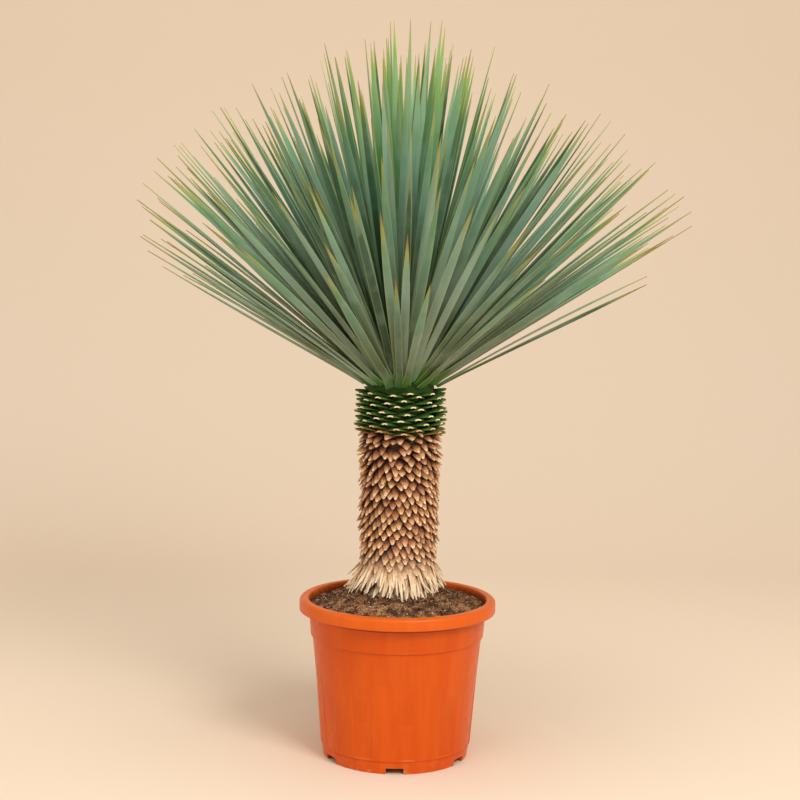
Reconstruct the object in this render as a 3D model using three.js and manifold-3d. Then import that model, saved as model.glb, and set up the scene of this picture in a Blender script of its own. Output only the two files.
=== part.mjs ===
// A yucca in a round nursery pot, in millimetres with +Z up.
// The origin is on the pot's axis, on the surface that the pot stands on.
// The pieces are the moulded pot, the soil in it, the trunk with its leaf bases, and the leaves one by one.
import * as THREE from "three";
import { mergeVertices } from "three/addons/utils/BufferGeometryUtils.js";
import Module from "manifold-3d";

const wasm = await Module();
wasm.setup();

// ---- Driving dimensions ----

const FIT_GAP = 0.3; // clearance between two pieces that touch
const DEGREE = Math.PI / 180;
const WELD_DISTANCE = 1e-3; // corners closer than this are one corner

// Pot: outside radii and heights, from the foot up to the rim
const POT_HEIGHT = 275;
const WALL = 3;
const FOOT_RADIUS = 125.4;
const FOOT_TOP_RADIUS = 128.4;
const FOOT_HEIGHT = 21;
const WALL_FOOT_RADIUS = 130.4;
const WALL_TOP_RADIUS = 145.5;
const COLLAR_FOOT_RADIUS = 149.8;
const COLLAR_TOP_RADIUS = 153;
const COLLAR_FOOT_HEIGHT = 211;
const COLLAR_TOP_HEIGHT = 250;
const STEP_RISE = 1.5; // height of the small slopes at the foot and under the collar
const RIM_RADIUS = 170;
const RIM_DEPTH = 21; // how far the skirt hangs below the rim's top
const RIM_ROUNDING = 7;
const LIP_RADIUS = 157; // where the rim rounds over into the pot
const LIP_ROUNDING = 3;
const FLOOR_CLEARANCE = 6; // the floor's underside over the ground
const FOOT_WALL = 4;
const EDGE_CHAMFER = 1; // on the outer edges of the foot and of the rim's skirt
const POT_SIDES = 60;

// Drainage notches in the foot
const NOTCH_COUNT = 6;
const NOTCH_WIDTH = 30;
const NOTCH_HEIGHT = 10.5;
const NOTCH_INNER_RADIUS = 106;
const FRONT = -90 * DEGREE; // one notch faces front

// Soil
const SOIL_EDGE_HEIGHT = 264;
const SOIL_TOP_HEIGHT = 284; // it is heaped up round the trunk
const SOIL_WALL_GAP = 0.6; // its flats, coarser than the pot's, stay clear of the wall
const SOIL_SIDES = 48;

// Trunk
const TRUNK_BASE_HEIGHT = 200; // its buried end
const TRUNK_BASE_RADIUS = 57;
const TRUNK_CORE_RADIUS = 61;
const TRUNK_SCALES_AROUND = 14; // leaf bases in one row
const SKIRT_TIP_RADIUS = 88; // the shredded bases that fan out over the soil
const SKIRT_TIP_HEIGHT = 291;
const SKIRT_FLARE_SHARE = 0.6; // how much of the skirt's flare the row above it has
const SKIRT_FLARE_FADE = 6; // how fast the flare fades up the trunk
const DRY_FOOT_HEIGHT = 306;
const DRY_TOP_HEIGHT = 558;
const DRY_TIP_RADIUS = 69;
const DRY_ROWS = 19;
const DRY_DROOP = -6; // the dry tips hang down
const GREEN_TOP_HEIGHT = 645;
const GREEN_TIP_RADIUS = 79;
const GREEN_ROWS = 9;
const GREEN_RISE = 5; // the green tips point up
const CREST_HEIGHT = 60; // the growing tip over the last cut leaf base
const CREST_RADIUS = 62;
const CREST_STEPS = 6;

// Crown of leaves
const CROWN_TOP_HEIGHT = 1255;
const CROWN_RADIUS = 480;
const WIDEST_TILT = 56 * DEGREE; // from upright, of the tier that reaches furthest out
const WIDEST_COUNT = 16;
const LOWEST_TILT = 63 * DEGREE;
const LOWEST_COUNT = 8;
const LOWEST_REACH = 455; // from the trunk's top to the leaf's tip
const LOWEST_START = 0.25; // the ring's first angle, as a share of its own step
const INNER_COUNT = 31;
const INNER_LOWEST_TILT = 50 * DEGREE;
const INNER_HIGHEST_TILT = 7 * DEGREE;
const INNER_REACH = 548;
const GOLDEN_ANGLE = 137.508 * DEGREE;
const FLATTEST_TILT = 71 * DEGREE; // of a leaf that would be seated at the very foot of the crest

// One leaf
const LEAF_WIDTH = 14.5;
const LEAF_THICKNESS = 3;
const LEAF_BASE_SHARE = 0.62; // width at the base, as a share of the full width
const LEAF_WIDEST_AT = 0.42; // along the leaf
const LEAF_TIP_POWER = 1.7; // how long the leaf stays broad before its point
const LEAF_STEPS = 8;
const LEAF_SIDES = 4;
const LEAF_SAG_SHARE = 0.02; // how far the tip bends out, as a share of the length
const LEAF_SEAT_GAP = 0.8; // between a leaf's end and the crest

// ---- Materials ----

const finishes = {
  plastic: { color: "#df5a17", roughness: 0.42, metalness: 0 },
  soil: { color: "#3f2a1d", roughness: 0.95, metalness: 0 },
  bark: { color: "#c1905c", roughness: 0.85, metalness: 0 },
  leaf: { color: "#6f9682", roughness: 0.5, metalness: 0 },
};

function materialOf(finish) {
  return new THREE.MeshStandardMaterial(finishes[finish]);
}

// ---- Shape helpers ----

// A closed solid for joining and cutting, from a closed geometry.
function solidFrom(geometry) {
  const bare = geometry.clone();
  bare.deleteAttribute("normal");
  bare.deleteAttribute("uv");
  const merged = mergeVertices(bare, WELD_DISTANCE);
  const vertProperties = merged.attributes.position.array;
  const triVerts = new Uint32Array(merged.index.array);
  return new wasm.Manifold(new wasm.Mesh({ numProp: 3, vertProperties, triVerts }));
}

function geometryFrom(solid) {
  const { vertProperties, triVerts } = solid.getMesh();
  const geometry = new THREE.BufferGeometry();
  geometry.setAttribute("position", new THREE.BufferAttribute(vertProperties, 3));
  geometry.setIndex(new THREE.BufferAttribute(triVerts, 1));
  geometry.computeVertexNormals();
  return geometry;
}

// A body of revolution about Z. The profile is a path of (radius, height) that starts and ends on the axis,
// going up on the outside.
function turned(path, sides, arcDivisions = 2) {
  const profile = path.getPoints(arcDivisions);
  return new THREE.LatheGeometry(profile, sides).rotateX(Math.PI / 2);
}

// A path along straight lines through (radius, height) points.
function pathThrough(points) {
  const corners = points.map(([radius, height]) => new THREE.Vector2(radius, height));
  return new THREE.Path().setFromPoints(corners);
}

function meshOf(name, geometry, finish) {
  const mesh = new THREE.Mesh(geometry, materialOf(finish));
  mesh.name = name;
  return mesh;
}

// ---- Pot ----

// Inside radius of the pot's wall at the foot of the wall, under the collar and at the collar's top.
const INSIDE = {
  floor: FLOOR_CLEARANCE + WALL,
  footRadius: FOOT_RADIUS - WALL,
  wallFootRadius: WALL_FOOT_RADIUS - WALL,
  wallTopRadius: WALL_TOP_RADIUS - WALL,
  collarFootRadius: COLLAR_FOOT_RADIUS - WALL,
  collarTopRadius: COLLAR_TOP_RADIUS - WALL,
};

function potProfile() {
  const skirtFoot = POT_HEIGHT - RIM_DEPTH;
  const skirtInside = RIM_RADIUS - WALL;
  const rimUnderside = POT_HEIGHT - WALL;
  const path = new THREE.Path();
  path.moveTo(0, FLOOR_CLEARANCE);
  path.lineTo(FOOT_RADIUS - FOOT_WALL, FLOOR_CLEARANCE);
  path.lineTo(FOOT_RADIUS - FOOT_WALL, 0);
  path.lineTo(FOOT_RADIUS - EDGE_CHAMFER, 0);
  path.lineTo(FOOT_RADIUS, EDGE_CHAMFER);
  path.lineTo(FOOT_TOP_RADIUS, FOOT_HEIGHT);
  path.lineTo(WALL_FOOT_RADIUS, FOOT_HEIGHT + STEP_RISE);
  path.lineTo(WALL_TOP_RADIUS, COLLAR_FOOT_HEIGHT - STEP_RISE);
  path.lineTo(COLLAR_FOOT_RADIUS, COLLAR_FOOT_HEIGHT);
  path.lineTo(COLLAR_TOP_RADIUS, COLLAR_TOP_HEIGHT);
  path.lineTo(LIP_RADIUS, rimUnderside - WALL);
  path.lineTo(LIP_RADIUS + WALL, rimUnderside);
  path.lineTo(skirtInside, rimUnderside);
  path.lineTo(skirtInside, skirtFoot);
  path.lineTo(RIM_RADIUS - EDGE_CHAMFER, skirtFoot);
  path.lineTo(RIM_RADIUS, skirtFoot + EDGE_CHAMFER);
  path.absarc(RIM_RADIUS - RIM_ROUNDING, POT_HEIGHT - RIM_ROUNDING, RIM_ROUNDING, 0, Math.PI / 2, false);
  path.absarc(LIP_RADIUS, POT_HEIGHT - LIP_ROUNDING, LIP_ROUNDING, Math.PI / 2, Math.PI, false);
  path.lineTo(INSIDE.collarTopRadius, COLLAR_TOP_HEIGHT);
  path.lineTo(INSIDE.collarFootRadius, COLLAR_FOOT_HEIGHT);
  path.lineTo(INSIDE.wallTopRadius, COLLAR_FOOT_HEIGHT - STEP_RISE);
  path.lineTo(INSIDE.wallFootRadius, FOOT_HEIGHT + STEP_RISE);
  path.lineTo(INSIDE.footRadius, INSIDE.floor);
  path.lineTo(0, INSIDE.floor);
  return path;
}

// One notch's cutter runs from inside the floor's edge out through the foot.
function notchCutter(angle) {
  const reach = FOOT_TOP_RADIUS + WALL - NOTCH_INNER_RADIUS;
  const cutter = new THREE.BoxGeometry(reach, NOTCH_WIDTH, 2 * NOTCH_HEIGHT);
  cutter.translate(NOTCH_INNER_RADIUS + reach / 2, 0, 0);
  cutter.rotateZ(angle);
  return solidFrom(cutter);
}

function makePot() {
  let pot = solidFrom(turned(potProfile(), POT_SIDES));
  for (let index = 0; index < NOTCH_COUNT; index += 1) {
    pot = pot.subtract(notchCutter(FRONT + (index * 2 * Math.PI) / NOTCH_COUNT));
  }
  return meshOf("pot", geometryFrom(pot), "plastic");
}

// ---- Soil ----

// The soil fills the pot, is heaped up towards the trunk, and holds the trunk's buried end in a pocket.
function makeSoil() {
  const collarSlope = (COLLAR_TOP_RADIUS - COLLAR_FOOT_RADIUS) / (COLLAR_TOP_HEIGHT - COLLAR_FOOT_HEIGHT);
  const edgeRadius = INSIDE.collarTopRadius + collarSlope * (SOIL_EDGE_HEIGHT - COLLAR_TOP_HEIGHT);
  const pocketRadius = TRUNK_CORE_RADIUS + FIT_GAP;
  const profile = pathThrough([
    [0, INSIDE.floor + FIT_GAP],
    [INSIDE.footRadius - SOIL_WALL_GAP, INSIDE.floor + FIT_GAP],
    [INSIDE.wallFootRadius - SOIL_WALL_GAP, FOOT_HEIGHT + STEP_RISE],
    [INSIDE.wallTopRadius - SOIL_WALL_GAP, COLLAR_FOOT_HEIGHT - STEP_RISE],
    [INSIDE.collarFootRadius - SOIL_WALL_GAP, COLLAR_FOOT_HEIGHT],
    [edgeRadius - SOIL_WALL_GAP, SOIL_EDGE_HEIGHT],
    [SKIRT_TIP_RADIUS, SOIL_TOP_HEIGHT],
    [pocketRadius, SOIL_TOP_HEIGHT],
    [pocketRadius, TRUNK_BASE_HEIGHT - FIT_GAP],
    [0, TRUNK_BASE_HEIGHT - FIT_GAP],
  ]);
  return meshOf("soil", turned(profile, SOIL_SIDES), "soil");
}

// ---- Trunk ----

// The trunk's rows, from the buried end to the crest. Every other corner of a row is a leaf base's tip, which
// stands out to tipRadius and leans by lean, and the rows are staggered as scales are.
function trunkRows() {
  const rows = [
    { height: TRUNK_BASE_HEIGHT, radius: 0 },
    { height: TRUNK_BASE_HEIGHT, radius: TRUNK_BASE_RADIUS },
    { height: SOIL_TOP_HEIGHT + FIT_GAP, radius: TRUNK_CORE_RADIUS },
    { height: SKIRT_TIP_HEIGHT, radius: TRUNK_CORE_RADIUS, tipRadius: SKIRT_TIP_RADIUS, lean: 0 },
  ];
  for (let row = 0; row < DRY_ROWS; row += 1) {
    const share = row / DRY_ROWS;
    const fade = SKIRT_FLARE_SHARE * Math.exp(-SKIRT_FLARE_FADE * share);
    rows.push({
      height: THREE.MathUtils.lerp(DRY_FOOT_HEIGHT, DRY_TOP_HEIGHT, share),
      radius: TRUNK_CORE_RADIUS,
      tipRadius: THREE.MathUtils.lerp(DRY_TIP_RADIUS, SKIRT_TIP_RADIUS, fade),
      lean: DRY_DROOP,
    });
  }
  for (let row = 0; row < GREEN_ROWS; row += 1) {
    rows.push({
      height: THREE.MathUtils.lerp(DRY_TOP_HEIGHT, GREEN_TOP_HEIGHT, row / GREEN_ROWS),
      radius: TRUNK_CORE_RADIUS,
      tipRadius: GREEN_TIP_RADIUS,
      lean: GREEN_RISE,
    });
  }
  for (let step = 0; step <= CREST_STEPS; step += 1) {
    rows.push(crestPoint((step / CREST_STEPS) * (Math.PI / 2)));
  }
  return rows;
}

// A point of the crest's half ellipse: turn is 0 at its foot and a quarter turn at its top.
function crestPoint(turn) {
  const atTop = turn >= Math.PI / 2;
  return {
    height: GREEN_TOP_HEIGHT + CREST_HEIGHT * Math.sin(turn),
    radius: atTop ? 0 : CREST_RADIUS * Math.cos(turn),
  };
}

// A tip is every other corner of the rows that have tips, staggered from row to row.
function isTip(row, rowIndex, corner) {
  return row.tipRadius !== undefined && (corner + rowIndex) % 2 === 0;
}

// Moves the tips of a turned trunk out to their radius, and up or down by their lean.
function pullTips(position, rows, corners) {
  for (let corner = 0; corner <= corners; corner += 1) {
    rows.forEach((row, rowIndex) => {
      if (!isTip(row, rowIndex, corner)) {
        return;
      }
      const vertex = corner * rows.length + rowIndex;
      const outward = row.tipRadius / row.radius;
      const x = position.getX(vertex) * outward;
      const y = position.getY(vertex) * outward;
      position.setXYZ(vertex, x, y, row.height + row.lean);
    });
  }
}

// The trunk's faces, with each four-cornered cell creased between its two hollows, so that a tip is a point
// and not part of a ridge.
function creasedFaces(rows, corners) {
  const faces = [];
  for (let corner = 0; corner < corners; corner += 1) {
    for (let rowIndex = 0; rowIndex < rows.length - 1; rowIndex += 1) {
      const here = corner * rows.length + rowIndex;
      const beside = here + rows.length;
      const above = here + 1;
      const across = beside + 1;
      if ((corner + rowIndex) % 2 === 0) {
        faces.push(here, beside, above, across, above, beside);
      } else {
        faces.push(here, beside, across, here, across, above);
      }
    }
  }
  return faces;
}

function makeTrunk() {
  const rows = trunkRows();
  const corners = 2 * TRUNK_SCALES_AROUND;
  const profile = pathThrough(rows.map(({ radius, height }) => [radius, height]));
  const geometry = turned(profile, corners);
  pullTips(geometry.attributes.position, rows, corners);
  geometry.setIndex(creasedFaces(rows, corners));
  geometry.computeVertexNormals();
  return meshOf("trunk", geometry, "bark");
}

// ---- Leaves ----

// Half the leaf's width at a share of its length: it swells from the base, then runs out to a long point.
function leafHalfWidth(along) {
  const full = LEAF_WIDTH / 2;
  if (along < LEAF_WIDEST_AT) {
    const swell = Math.sin((along / LEAF_WIDEST_AT) * (Math.PI / 2));
    return full * THREE.MathUtils.lerp(LEAF_BASE_SHARE, 1, swell);
  }
  const towardsTip = (along - LEAF_WIDEST_AT) / (1 - LEAF_WIDEST_AT);
  return full * (1 - towardsTip ** LEAF_TIP_POWER);
}

// A leaf that stands on the origin and runs up Z, flat across X, with its tip bent towards +X.
function leafGeometry(length) {
  const points = [[0, 0]];
  for (let step = 0; step <= LEAF_STEPS; step += 1) {
    const along = step / LEAF_STEPS;
    points.push([leafHalfWidth(along), along * length]);
  }
  const geometry = turned(pathThrough(points), LEAF_SIDES);
  geometry.scale(LEAF_THICKNESS / LEAF_WIDTH, 1, 1);
  const position = geometry.attributes.position;
  for (let vertex = 0; vertex < position.count; vertex += 1) {
    const along = position.getZ(vertex) / length;
    position.setX(vertex, position.getX(vertex) + LEAF_SAG_SHARE * length * along ** 2);
  }
  geometry.computeVertexNormals();
  return geometry;
}

// A leaf at a compass angle and a tilt from upright, whose tip is at a given reach from the trunk's top.
function makeLeaf(name, { angle, tilt, reach }) {
  const turn = (Math.PI / 2) * (1 - tilt / FLATTEST_TILT);
  const seat = crestPoint(turn);
  const seatHeight = seat.height - GREEN_TOP_HEIGHT;
  const tip = new THREE.Vector2(reach * Math.sin(tilt), reach * Math.cos(tilt));
  const run = tip.clone().sub(new THREE.Vector2(seat.radius, seatHeight));
  const length = run.length() - LEAF_SEAT_GAP;
  const lean = Math.atan2(run.x, run.y) - Math.atan(LEAF_SAG_SHARE);
  const mesh = meshOf(name, leafGeometry(length), "leaf");
  mesh.position.set(seat.radius + LEAF_SEAT_GAP * Math.sin(lean), 0, seat.height + LEAF_SEAT_GAP * Math.cos(lean));
  mesh.rotation.y = lean;
  const turntable = new THREE.Group();
  turntable.rotation.z = angle;
  turntable.add(mesh);
  return turntable;
}

// Where each leaf points: a sparse lowest ring, the ring that sets the crown's width, a spiral up to the
// middle, and one upright leaf.
function leafPlaces() {
  const places = [];
  for (let index = 0; index < LOWEST_COUNT; index += 1) {
    const angle = ((index + LOWEST_START) / LOWEST_COUNT) * 2 * Math.PI;
    places.push({ angle, tilt: LOWEST_TILT, reach: LOWEST_REACH });
  }
  for (let index = 0; index < WIDEST_COUNT; index += 1) {
    const angle = (index / WIDEST_COUNT) * 2 * Math.PI;
    places.push({ angle, tilt: WIDEST_TILT, reach: CROWN_RADIUS / Math.sin(WIDEST_TILT) });
  }
  for (let index = 0; index < INNER_COUNT; index += 1) {
    const share = Math.sqrt((INNER_COUNT - index) / INNER_COUNT);
    const tilt = THREE.MathUtils.lerp(INNER_HIGHEST_TILT, INNER_LOWEST_TILT, share);
    places.push({ angle: index * GOLDEN_ANGLE, tilt, reach: INNER_REACH });
  }
  places.push({ angle: 0, tilt: 0, reach: CROWN_TOP_HEIGHT - GREEN_TOP_HEIGHT });
  return places;
}

function makeLeaves() {
  const crown = new THREE.Group();
  leafPlaces().forEach((place, index) => {
    const number = String(index + 1).padStart(2, "0");
    crown.add(makeLeaf(`leaf_${number}`, place));
  });
  return crown;
}

// ---- The whole plant ----

const plant = new THREE.Group();
plant.name = "potted_yucca";
plant.add(makePot(), makeSoil(), makeTrunk(), makeLeaves());

export default plant;
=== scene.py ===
"""The looks of a yucca in a nursery pot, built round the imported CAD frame. In metres, +Z up, front to -Y."""

import logging
import math
import random
from collections.abc import Callable, Iterable
from dataclasses import dataclass
from enum import Enum

import bmesh
import bpy
from mathutils import Euler, Matrix, Vector, noise


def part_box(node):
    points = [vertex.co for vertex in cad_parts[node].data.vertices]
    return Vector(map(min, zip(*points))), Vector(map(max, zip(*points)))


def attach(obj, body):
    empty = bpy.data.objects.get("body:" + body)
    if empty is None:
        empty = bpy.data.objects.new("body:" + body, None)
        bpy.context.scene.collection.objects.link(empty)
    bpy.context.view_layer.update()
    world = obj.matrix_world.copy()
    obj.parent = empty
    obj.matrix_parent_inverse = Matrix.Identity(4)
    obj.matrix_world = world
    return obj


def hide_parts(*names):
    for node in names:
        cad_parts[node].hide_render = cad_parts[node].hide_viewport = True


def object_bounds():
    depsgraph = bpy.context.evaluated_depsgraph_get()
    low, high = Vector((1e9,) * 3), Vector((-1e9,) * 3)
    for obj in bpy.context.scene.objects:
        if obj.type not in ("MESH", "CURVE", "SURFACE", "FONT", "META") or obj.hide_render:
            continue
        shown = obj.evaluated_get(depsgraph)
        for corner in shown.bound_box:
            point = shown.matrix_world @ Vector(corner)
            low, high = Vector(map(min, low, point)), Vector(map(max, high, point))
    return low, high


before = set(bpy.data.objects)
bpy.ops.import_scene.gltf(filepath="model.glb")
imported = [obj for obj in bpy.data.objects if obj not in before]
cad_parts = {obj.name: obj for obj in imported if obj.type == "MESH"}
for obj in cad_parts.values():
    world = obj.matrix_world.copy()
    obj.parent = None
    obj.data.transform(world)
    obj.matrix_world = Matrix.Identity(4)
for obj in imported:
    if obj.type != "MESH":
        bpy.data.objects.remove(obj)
CAD_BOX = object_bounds()

LOG = logging.getLogger("potted_yucca")
BODY = "root"
MM = 0.001
FULL_TURN = 2 * math.pi
GOLDEN_ANGLE = math.radians(137.508)
SEED = 11

Colour = tuple[float, float, float, float]
Point = tuple[float, float]
Socket = bpy.types.NodeSocket


# ---------------------------------------------------------------- small helpers


def srgb(red: int, green: int, blue: int) -> Colour:
    """The linear colour of a screen colour given from 0 to 255."""

    def linear(level: int) -> float:
        share = level / 255
        return share / 12.92 if share <= 0.04045 else ((share + 0.055) / 1.055) ** 2.4

    return (linear(red), linear(green), linear(blue), 1.0)


def mix(low: float, high: float, share: float) -> float:
    """The value a share of the way from low to high."""
    return low + (high - low) * share


def smooth_step(low: float, high: float, value: float) -> float:
    """0 below low, 1 above high, and an even rise between."""
    share = min(1.0, max(0.0, (value - low) / (high - low)))
    return share * share * (3 - 2 * share)


def arc(centre: Point, radius: float, start: float, end: float, steps: int) -> list[Point]:
    """Points along an arc in the (radius, height) plane.

    Args:
        centre: The arc's centre.
        radius: Its radius.
        start: The first point's angle in degrees.
        end: The last point's angle in degrees.
        steps: How many straight steps it takes.

    Returns:
        steps + 1 points.
    """
    angles = [math.radians(mix(start, end, step / steps)) for step in range(steps + 1)]
    return [(centre[0] + radius * math.cos(a), centre[1] + radius * math.sin(a)) for a in angles]


def spun(profile: Iterable[Point], steps: int) -> bmesh.types.BMesh:
    """A closed body of revolution about Z.

    Args:
        profile: (radius, height) points that start and end on the axis.
        steps: How many steps the full turn takes.

    Returns:
        The new bmesh, with its poles closed and its faces pointing out.
    """
    bm = bmesh.new()
    corners = [bm.verts.new((radius, 0, height)) for radius, height in profile]
    edges = [bm.edges.new(pair) for pair in zip(corners, corners[1:])]
    bmesh.ops.spin(
        bm,
        geom=corners + edges,
        cent=(0, 0, 0),
        axis=(0, 0, 1),
        angle=FULL_TURN,
        steps=steps,
        use_merge=True,
        use_duplicate=False,
    )
    bmesh.ops.remove_doubles(bm, verts=bm.verts[:], dist=1e-6)
    bmesh.ops.recalc_face_normals(bm, faces=bm.faces[:])
    return bm


def finished(
    bm: bmesh.types.BMesh, name: str, material: bpy.types.Material, sharp: float = 40
) -> bpy.types.Object:
    """Turns a bmesh into a smooth-shaded piece at the origin.

    Args:
        bm: The shape, which is freed.
        name: The piece's name.
        material: Its finish.
        sharp: Edges that turn by more than this many degrees stay sharp.

    Returns:
        The new object, linked to the scene.
    """
    mesh = bpy.data.meshes.new(name)
    bm.to_mesh(mesh)
    bm.free()
    mesh.shade_smooth()
    mesh.set_sharp_from_angle(angle=math.radians(sharp))
    mesh.materials.append(material)
    piece = bpy.data.objects.new(name, mesh)
    bpy.context.scene.collection.objects.link(piece)
    return piece


def dressed(piece: bpy.types.Object, stands_for: Iterable[str] = ()) -> bpy.types.Object:
    """Fixes a finished piece to the plant's body and reports it.

    Args:
        piece: The finished piece.
        stands_for: The CAD nodes that it stands for.

    Returns:
        The same piece.
    """
    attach(piece, BODY)
    stands_for = list(stands_for)
    if stands_for:
        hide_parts(*stands_for)
    LOG.info("%s: %d faces", piece.name, len(piece.data.polygons))
    return piece


# ---------------------------------------------------------------- node graphs


class Graph:
    """Shorthand for wiring one node tree."""

    def __init__(self, tree: bpy.types.NodeTree) -> None:
        """Keeps the tree to add nodes to."""
        self.tree = tree

    def add(self, kind: str, inputs: dict | None = None, **settings: object) -> bpy.types.Node:
        """Adds a node.

        Args:
            kind: The node's type without its ShaderNode prefix.
            inputs: Input sockets by name or index, each with a value or a socket to link from.
            settings: The node's own properties.

        Returns:
            The new node.
        """
        node = self.tree.nodes.new("ShaderNode" + kind)
        for name, value in settings.items():
            setattr(node, name, value)
        for key, value in (inputs or {}).items():
            if isinstance(value, Socket):
                self.tree.links.new(value, node.inputs[key])
            else:
                node.inputs[key].default_value = value
        return node

    def math(self, operation: str, first: object, second: object = 0.0, clamp: bool = False) -> Socket:
        """The result of a Math node on two values or sockets.

        Args:
            operation: The node's operation.
            first: The first value or socket.
            second: The second value or socket.
            clamp: Whether the result is held from 0 to 1.

        Returns:
            The result's socket.
        """
        node = self.add("Math", {0: first, 1: second}, operation=operation, use_clamp=clamp)
        return node.outputs[0]

    def sway(self, value: Socket, amount: float) -> Socket:
        """A 0 to 1 value turned into a swing about zero, of the given full amount."""
        return self.math("MULTIPLY", self.math("SUBTRACT", value, 0.5), amount)

    def blend(self, share: object, low: object, high: object, kind: str = "MIX") -> Socket:
        """Mixes two colours.

        Args:
            share: The share, as a value or a socket.
            low: The colour at 0.
            high: The colour at 1.
            kind: The blend mode.

        Returns:
            The colour's socket.
        """
        node = self.add("Mix", {0: share, 6: low, 7: high}, data_type="RGBA", blend_type=kind)
        return node.outputs[2]

    def ramp(self, value: Socket, stops: list[tuple[float, Colour]]) -> Socket:
        """Looks a value up on a colour ramp.

        Args:
            value: Where on the ramp to read.
            stops: The ramp's (position, colour) stops.

        Returns:
            The colour's socket.
        """
        node = self.add("ValToRGB", {0: value})
        elements = node.color_ramp.elements
        while len(elements) < len(stops):
            elements.new(1.0)
        for element, (position, colour) in zip(elements, stops):
            element.position = position
            element.color = colour
        return node.outputs["Color"]

    def range(self, value: Socket, source: Point, target: Point) -> Socket:
        """Moves a value smoothly from one range to another, and holds it at the ends.

        Args:
            value: The value to move.
            source: Its lowest and highest value.
            target: What they become.

        Returns:
            The moved value's socket.
        """
        spans = {"From Min": source[0], "From Max": source[1], "To Min": target[0], "To Max": target[1]}
        node = self.add("MapRange", {"Value": value, **spans}, interpolation_type="SMOOTHSTEP")
        return node.outputs["Result"]

    def attribute(self, name: str) -> Socket:
        """The value of a piece's own attribute."""
        return self.add("Attribute", attribute_name=name).outputs["Fac"]

    def place(self) -> Socket:
        """The point on the piece, in metres."""
        return self.add("TexCoord").outputs["Object"]

    def noise(self, point: Socket, scale: float, detail: float = 3.0, rough: float = 0.55) -> Socket:
        """Fractal noise at a point.

        Args:
            point: The point's socket.
            scale: How many features there are to a metre.
            detail: How many finer layers are added.
            rough: How strong the finer layers are.

        Returns:
            A value from about 0.3 to 0.7.
        """
        inputs = {"Vector": point, "Scale": scale, "Detail": detail, "Roughness": rough}
        return self.add("TexNoise", inputs).outputs["Fac"]


class SurfaceEffects:
    """The node groups that several finishes share, each built once."""

    _made: dict[str, bpy.types.NodeTree] = {}

    @classmethod
    def _new(
        cls, name: str, inputs: dict[str, float], outputs: list[str]
    ) -> tuple[bpy.types.NodeTree, Graph]:
        """Starts a group that also takes a point.

        Args:
            name: The group's name.
            inputs: Its float inputs, with their defaults.
            outputs: Its float outputs.

        Returns:
            The group's tree and the shorthand for wiring it.
        """
        tree = bpy.data.node_groups.new(name, "ShaderNodeTree")
        tree.interface.new_socket("Point", in_out="INPUT", socket_type="NodeSocketVector")
        for label, default in inputs.items():
            socket = tree.interface.new_socket(label, in_out="INPUT", socket_type="NodeSocketFloat")
            socket.default_value = default
        for label in outputs:
            tree.interface.new_socket(label, in_out="OUTPUT", socket_type="NodeSocketFloat")
        cls._made[name] = tree
        return tree, Graph(tree)

    @classmethod
    def mottle(cls) -> bpy.types.NodeTree:
        """Broad, medium and fine variation over a surface: Broad drifts slowly, and Fine is its grain."""
        name = "Mottle"
        if name in cls._made:
            return cls._made[name]
        tree, graph = cls._new(name, {"Scale": 10.0}, ["Broad", "Fine"])
        start = graph.tree.nodes.new("NodeGroupInput").outputs
        end = graph.tree.nodes.new("NodeGroupOutput").inputs
        fine_scale = graph.math("MULTIPLY", start["Scale"], 9.0)
        for label, scale in (("Broad", start["Scale"]), ("Fine", fine_scale)):
            texture = graph.add("TexNoise", {"Vector": start["Point"], "Scale": scale, "Detail": 4.0})
            spread = graph.range(texture.outputs["Fac"], (0.3, 0.7), (0.0, 1.0))
            tree.links.new(spread, end[label])
        return tree

    @classmethod
    def fibres(cls) -> bpy.types.NodeTree:
        """Threads that run lengthwise along a blade, from its own across, along and tone values."""
        name = "Fibres"
        if name in cls._made:
            return cls._made[name]
        tree, graph = cls._new(name, {"Threads": 12.0, "Breaks": 2.0}, ["Height"])
        start = graph.tree.nodes.new("NodeGroupInput").outputs
        end = graph.tree.nodes.new("NodeGroupOutput").inputs
        across = graph.math("MULTIPLY", graph.attribute("across"), start["Threads"])
        along = graph.math("MULTIPLY", graph.attribute("along"), start["Breaks"])
        copy = graph.math("MULTIPLY", graph.attribute("tone"), 60.0)
        vector = graph.add("CombineXYZ", {0: across, 1: along, 2: copy}).outputs[0]
        threads = graph.noise(vector, 1.0, 2.0)
        tree.links.new(graph.range(threads, (0.3, 0.7), (0.0, 1.0)), end["Height"])
        return tree


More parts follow.
